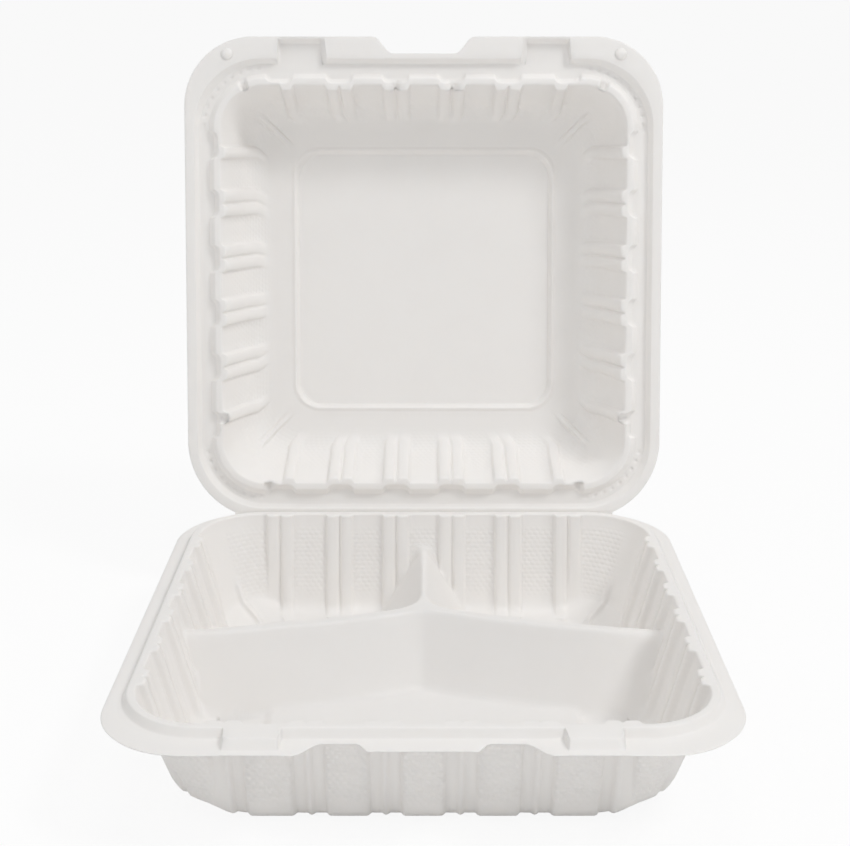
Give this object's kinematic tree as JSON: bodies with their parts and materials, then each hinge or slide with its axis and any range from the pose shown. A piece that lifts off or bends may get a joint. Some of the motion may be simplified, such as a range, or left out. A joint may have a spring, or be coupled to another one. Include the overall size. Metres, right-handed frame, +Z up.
{
  "type": "clamshell food container",
  "caption": "Square hinged plastic food container: ribbed base tray with a raised divider, and a domed lid that folds over on a living hinge and latches at the front.",
  "frame": {"origin": "centre of the base on the plane it rests on, under the middle of the recessed floor panel", "axes": "+X to the right seen from the front, +Y from the front latches towards the hinge, +Z up"},
  "size_m": [0.229, 0.3055, 0.2662],
  "materials": {
    "filled_plastic": "satin"
  },
  "bodies": {
    "base": {"base_tray": "filled_plastic", "living_hinge": "filled_plastic"},
    "lid": {"lid": "filled_plastic"}
  },
  "joints": [
    {"name": "lid_hinge", "type": "hinge", "parent": "base", "child": "lid", "pos_m": [0, 0.1145, 0.04315], "axis": [1, 0, 0], "range_deg": [-77, 103]}
  ]
}
